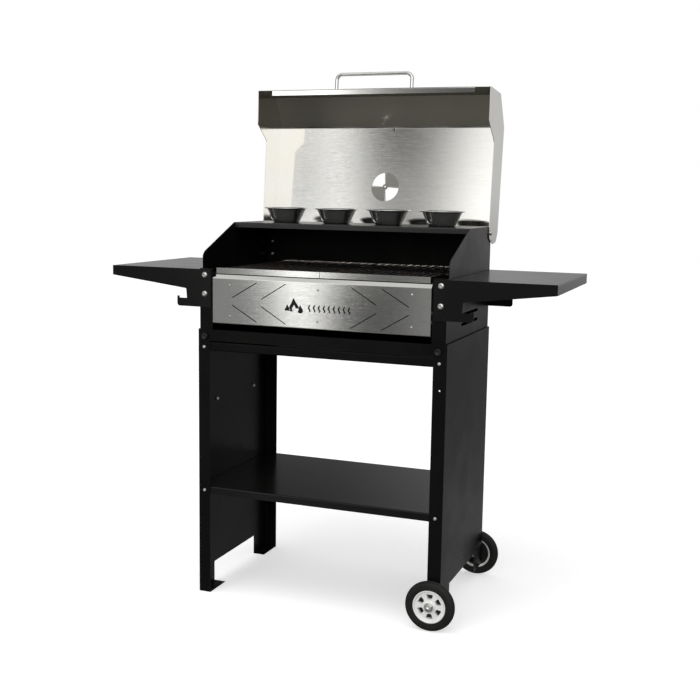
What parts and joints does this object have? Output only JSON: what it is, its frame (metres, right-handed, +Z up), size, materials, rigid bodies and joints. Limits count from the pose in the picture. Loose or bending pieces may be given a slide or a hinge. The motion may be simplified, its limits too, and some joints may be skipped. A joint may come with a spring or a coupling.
{
  "type": "charcoal trolley grill",
  "caption": "Charcoal grill on a two-wheeled trolley, with a folded stainless lid, side tables with hooks, lift-out grates and a pull-out fire drawer.",
  "frame": {"origin": "on the floor, midway between the trolley's left and right sides and between its front and back", "axes": "+X to the right seen from the front, +Y to the back, +Z up"},
  "size_m": [1.124, 0.531, 1.319],
  "materials": {
    "black_powder_coat": "satin black powder coat with a fine texture",
    "brushed_stainless": "fine horizontal brushing, semi-bright",
    "black_enamel": "heat-resistant matt black with ash marks",
    "grate_steel": "dark, heat-stained steel rod",
    "polished_tube": "polished stainless",
    "cup_steel": "polished pressed stainless",
    "bright_fasteners": "bright zinc and stainless",
    "black_knob": "moulded black",
    "wheel_rubber": "solid rubber",
    "wheel_hub": "moulded pale grey",
    "gauge_glass": "clear",
    "gauge_dial": "printed white face"
  },
  "bodies": {
    "grill_body": {"axle_bolts": "bright_fasteners", "axle_bushes": "black_knob", "axle_nuts": "bright_fasteners", "axle_washers": "bright_fasteners", "back_panel_screws": "bright_fasteners", "base_pan": "black_powder_coat", "body_back": "black_powder_coat", "body_side_left": "black_powder_coat", "body_side_right": "black_powder_coat", "bottom_shelf": "black_powder_coat", "condiment_shelf": "black_powder_coat", "drawer_rail_left": "black_powder_coat", "drawer_rail_right": "black_powder_coat", "grate_rest_front": "black_powder_coat", "grate_rest_left": "black_powder_coat", "grate_rest_rear": "black_powder_coat", "grate_rest_right": "black_powder_coat", "hinge_bolts": "bright_fasteners", "hinge_nuts": "bright_fasteners", "pan_thumb_screws": "black_knob", "side_table_left": "black_powder_coat", "side_table_right": "black_powder_coat", "table_bolts": "bright_fasteners", "table_nuts": "bright_fasteners", "trolley_nuts": "bright_fasteners", "trolley_rail_front": "black_powder_coat", "trolley_rail_rear": "black_powder_coat", "trolley_screws": "bright_fasteners", "trolley_side_left": "black_powder_coat", "trolley_side_right": "black_powder_coat"},
    "lid": {"lid_shell": "brushed_stainless", "lid_side_left": "brushed_stainless", "lid_side_right": "brushed_stainless", "lid_handle": "polished_tube", "handle_screws": "bright_fasteners", "lid_stop_pins": "bright_fasteners", "thermometer_case": "polished_tube", "thermometer_dial": "gauge_dial", "thermometer_glass": "gauge_glass", "thermometer_stem": "bright_fasteners", "thermometer_wing_nut": "bright_fasteners", "vent_rivet": "bright_fasteners"},
    "damper": {"vent_damper": "brushed_stainless"},
    "fire_drawer": {"drawer_front": "brushed_stainless", "drawer_tray": "black_enamel", "charcoal_grate": "grate_steel", "drawer_rivets": "bright_fasteners"},
    "left_grate": {"grate_strips_left": "brushed_stainless", "grate_rods_left": "grate_steel"},
    "right_grate": {"grate_strips_right": "brushed_stainless", "grate_rods_right": "grate_steel"},
    "front_wheel": {"front_wheel_tyre": "wheel_rubber", "front_wheel_hub": "wheel_hub"},
    "rear_wheel": {"rear_wheel_tyre": "wheel_rubber", "rear_wheel_hub": "wheel_hub"},
    "cup_1": {"sauce_cup_1": "cup_steel"},
    "cup_2": {"sauce_cup_2": "cup_steel"},
    "cup_3": {"sauce_cup_3": "cup_steel"},
    "cup_4": {"sauce_cup_4": "cup_steel"}
  },
  "joints": [
    {"name": "lid_hinge", "type": "hinge", "parent": "grill_body", "child": "lid", "pos_m": [0, 0.18, 0.914], "axis": [-1, 0, 0], "range_deg": [-90, 0]},
    {"name": "damper_turn", "type": "hinge", "parent": "lid", "child": "damper", "pos_m": [0, 0.26811, 1.02625], "axis": [0, 0.9929, -0.1189], "range_deg": [0, 90]},
    {"name": "drawer_slide", "type": "slide", "parent": "grill_body", "child": "fire_drawer", "axis": [0, -1, 0], "range_m": [0, 0.26]},
    {"name": "left_grate_lift", "type": "slide", "parent": "grill_body", "child": "left_grate", "axis": [0, 0, 1], "range_m": [0, 0.08]},
    {"name": "right_grate_lift", "type": "slide", "parent": "grill_body", "child": "right_grate", "axis": [0, 0, 1], "range_m": [0, 0.08]},
    {"name": "front_wheel_spin", "type": "hinge", "parent": "grill_body", "child": "front_wheel", "pos_m": [0.299, -0.212, 0.06], "axis": [0, 1, 0], "continuous": true},
    {"name": "rear_wheel_spin", "type": "hinge", "parent": "grill_body", "child": "rear_wheel", "pos_m": [0.299, 0.212, 0.06], "axis": [0, 1, 0], "continuous": true},
    {"name": "cup_1_lift", "type": "slide", "parent": "grill_body", "child": "cup_1", "axis": [0, 0, 1], "range_m": [0, 0.08]},
    {"name": "cup_2_lift", "type": "slide", "parent": "grill_body", "child": "cup_2", "axis": [0, 0, 1], "range_m": [0, 0.08]},
    {"name": "cup_3_lift", "type": "slide", "parent": "grill_body", "child": "cup_3", "axis": [0, 0, 1], "range_m": [0, 0.08]},
    {"name": "cup_4_lift", "type": "slide", "parent": "grill_body", "child": "cup_4", "axis": [0, 0, 1], "range_m": [0, 0.08]}
  ]
}
